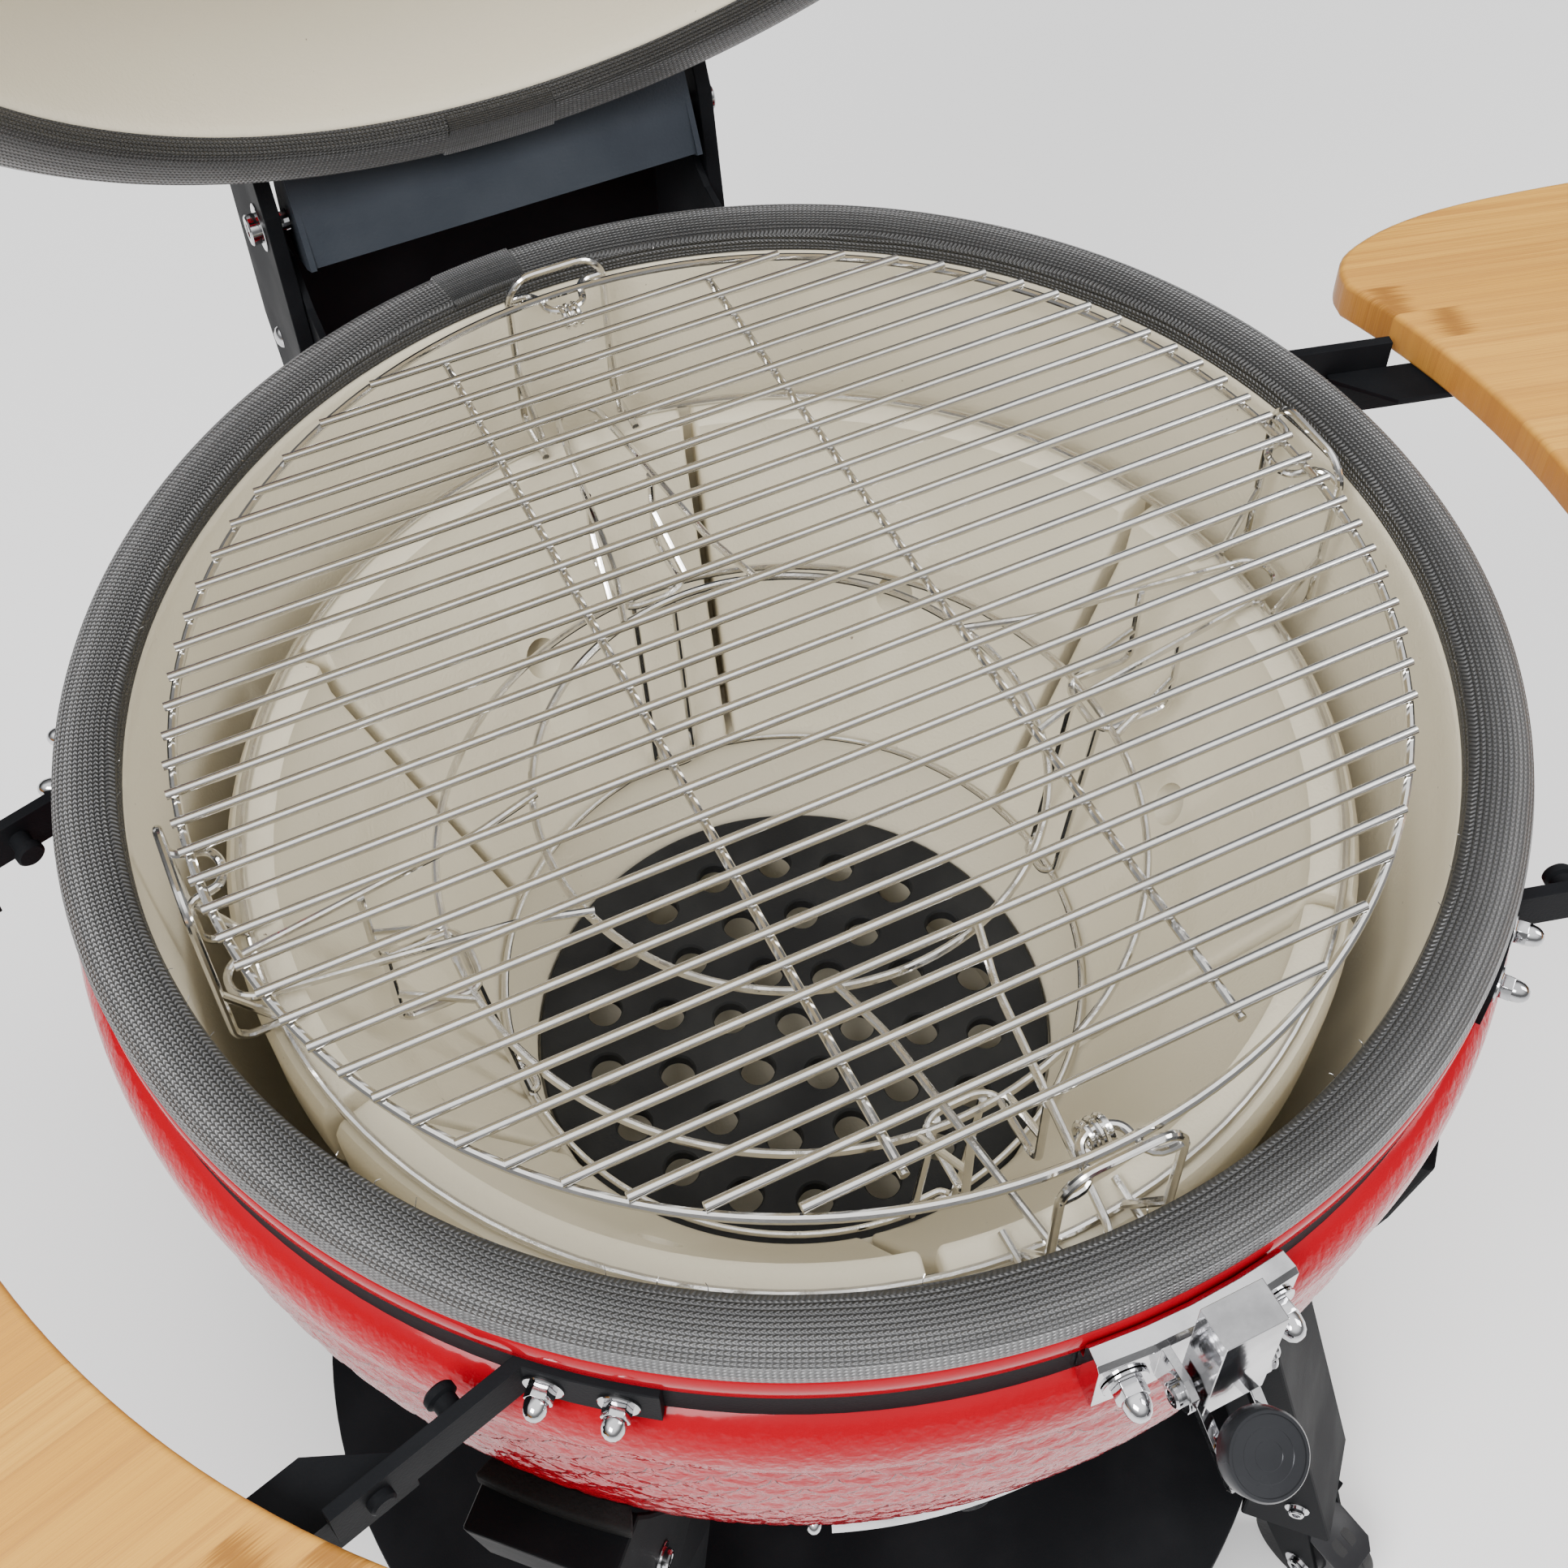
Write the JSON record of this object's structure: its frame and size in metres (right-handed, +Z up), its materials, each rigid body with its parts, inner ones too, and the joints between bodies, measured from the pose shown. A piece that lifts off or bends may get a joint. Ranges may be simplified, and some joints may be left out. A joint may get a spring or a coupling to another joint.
{
  "type": "kamado charcoal grill",
  "caption": "Egg-shaped ceramic charcoal grill with hinged lid, fire chamber, lifting grates and rack, draft door, turning top vent, folding bamboo side shelves and a wheeled stand.",
  "frame": {"origin": "on the floor under the middle of the bounding box, lid open and shelves up", "axes": "+Z up, -Y towards the cook (latch and draft door), +Y towards the lid's hinge, +X towards the right shelf"},
  "size_m": [1.2232, 0.8814, 1.4691],
  "materials": {
    "red_glaze": "glossy red glaze over a scale pattern, mottled on the shoulder",
    "cream_ceramic": "unglazed cream fire clay, finely speckled",
    "gasket_mesh": "knitted steel mesh gasket",
    "black_steel": "black textured powder coat",
    "grey_steel": "dark blue-grey textured powder coat",
    "chrome": "polished stainless steel",
    "cast_iron": "matte black",
    "bamboo": "oiled laminated bamboo",
    "black_plastic": "satin black",
    "wheel_rubber": "black tread"
  },
  "bodies": {
    "base": {"bowl": "red_glaze", "bowl_gasket": "gasket_mesh", "bowl_band": "black_steel", "firebox_segment_1": "cream_ceramic", "firebox_segment_2": "cream_ceramic", "firebox_segment_3": "cream_ceramic", "firebox_segment_4": "cream_ceramic", "firebox_segment_5": "cream_ceramic", "firebox_segment_6": "cream_ceramic", "firebox_base": "cream_ceramic", "draft_frame": "black_steel", "draft_rail": "chrome", "latch_bracket": "chrome", "hinge_bracket": "black_steel", "hinge_cheek_left": "black_steel", "hinge_cheek_right": "black_steel", "hinge_pin": "chrome", "leg_front_left": "black_steel", "leg_front_right": "black_steel", "leg_back_left": "black_steel", "leg_back_right": "black_steel", "lower_shelf": "black_steel", "left_shelf_arm_front": "black_steel", "left_shelf_arm_back": "black_steel", "right_shelf_arm_front": "black_steel", "right_shelf_arm_back": "black_steel"},
    "lid": {"lid_dome": "red_glaze", "lid_gasket": "gasket_mesh", "lid_band": "black_steel", "lid_hinge_bracket": "grey_steel", "lid_handle_bar": "bamboo", "lid_handle_post_left": "black_steel", "lid_handle_post_right": "black_steel", "latch_keeper": "chrome", "thermometer_case": "chrome", "vent_base": "cast_iron"},
    "vent_cap": {"vent_cap": "cast_iron"},
    "gauge_needle": {"thermometer_needle": "black_plastic"},
    "latch": {"latch_lever": "chrome", "latch_knob": "black_plastic"},
    "draft_door": {"draft_door": "black_steel", "draft_knob": "black_plastic"},
    "left_shelf": {"left_shelf_board": "bamboo", "left_shelf_rail_front": "black_steel", "left_shelf_rail_back": "black_steel"},
    "right_shelf": {"right_shelf_board": "bamboo", "right_shelf_rail_front": "black_steel", "right_shelf_rail_back": "black_steel"},
    "rack": {"rack": "chrome"},
    "cooking_grate": {"cooking_grate": "chrome"},
    "charcoal_grate": {"charcoal_grate": "cast_iron"},
    "caster_front_left": {"caster_fork_front_left": "black_steel"},
    "wheel_front_left": {"caster_wheel_front_left": "wheel_rubber"},
    "caster_front_right": {"caster_fork_front_right": "black_steel"},
    "wheel_front_right": {"caster_wheel_front_right": "wheel_rubber"},
    "caster_back_left": {"caster_fork_back_left": "black_steel"},
    "wheel_back_left": {"caster_wheel_back_left": "wheel_rubber"},
    "caster_back_right": {"caster_fork_back_right": "black_steel"},
    "wheel_back_right": {"caster_wheel_back_right": "wheel_rubber"}
  },
  "joints": [
    {"name": "lid_hinge", "type": "hinge", "parent": "base", "child": "lid", "pos_m": [0, 0.29433, 0.797], "axis": [1, 0, 0], "range_deg": [0, 62]},
    {"name": "vent_turn", "type": "hinge", "parent": "lid", "child": "vent_cap", "pos_m": [0, 0.38566, 1.24423], "axis": [0, 0.8829, 0.4695], "range_deg": [0, 120]},
    {"name": "needle_turn", "type": "hinge", "parent": "lid", "child": "gauge_needle", "pos_m": [0, 0.14679, 1.43295], "axis": [0, -0.0143, -0.9999], "range_deg": [0, 270]},
    {"name": "latch_pivot", "type": "hinge", "parent": "base", "child": "latch", "pos_m": [0, -0.38467, 0.757], "axis": [1, 0, 0], "range_deg": [0, 50]},
    {"name": "draft_slide", "type": "hinge", "parent": "base", "child": "draft_door", "pos_m": [0, -0.05767, 0.458], "axis": [0, 0, 1], "range_deg": [0, 17]},
    {"name": "left_shelf_fold", "type": "hinge", "parent": "base", "child": "left_shelf", "pos_m": [-0.30716, -0.13997, 0.733], "axis": [0.2588, -0.9659, 0], "range_deg": [0, 90]},
    {"name": "right_shelf_fold", "type": "hinge", "parent": "base", "child": "right_shelf", "pos_m": [0.30716, -0.13997, 0.733], "axis": [0.2588, 0.9659, 0], "range_deg": [0, 90]},
    {"name": "rack_lift", "type": "slide", "parent": "base", "child": "rack", "axis": [0, 0, 1], "range_m": [0, 0.04]},
    {"name": "cooking_grate_lift", "type": "slide", "parent": "rack", "child": "cooking_grate", "axis": [0, 0, 1], "range_m": [0, 0.03]},
    {"name": "charcoal_grate_lift", "type": "slide", "parent": "base", "child": "charcoal_grate", "axis": [0, 0, 1], "range_m": [0, 0.03]},
    {"name": "swivel_front_left", "type": "hinge", "parent": "base", "child": "caster_front_left", "pos_m": [-0.23193, -0.2896, 0.1007], "axis": [0, 0, 1], "continuous": true},
    {"name": "wheel_spin_front_left", "type": "hinge", "parent": "caster_front_left", "child": "wheel_front_left", "pos_m": [-0.25951, -0.29446, 0.0375], "axis": [0.1736, -0.9848, 0], "continuous": true},
    {"name": "swivel_front_right", "type": "hinge", "parent": "base", "child": "caster_front_right", "pos_m": [0.23193, -0.2896, 0.1007], "axis": [0, 0, 1], "continuous": true},
    {"name": "wheel_spin_front_right", "type": "hinge", "parent": "caster_front_right", "child": "wheel_front_right", "pos_m": [0.24151, -0.31591, 0.0375], "axis": [0.9397, 0.342, 0], "continuous": true},
    {"name": "swivel_back_left", "type": "hinge", "parent": "base", "child": "caster_back_left", "pos_m": [-0.23193, 0.17426, 0.1007], "axis": [0, 0, 1], "continuous": true},
    {"name": "wheel_spin_back_left", "type": "hinge", "parent": "caster_back_left", "child": "wheel_back_left", "pos_m": [-0.24593, 0.19851, 0.0375], "axis": [-0.866, -0.5, 0], "continuous": true},
    {"name": "swivel_back_right", "type": "hinge", "parent": "base", "child": "caster_back_right", "pos_m": [0.23193, 0.17426, 0.1007], "axis": [0, 0, 1], "continuous": true},
    {"name": "wheel_spin_back_right", "type": "hinge", "parent": "caster_back_right", "child": "wheel_back_right", "pos_m": [0.25338, 0.19226, 0.0375], "axis": [-0.6428, 0.766, 0], "continuous": true}
  ]
}
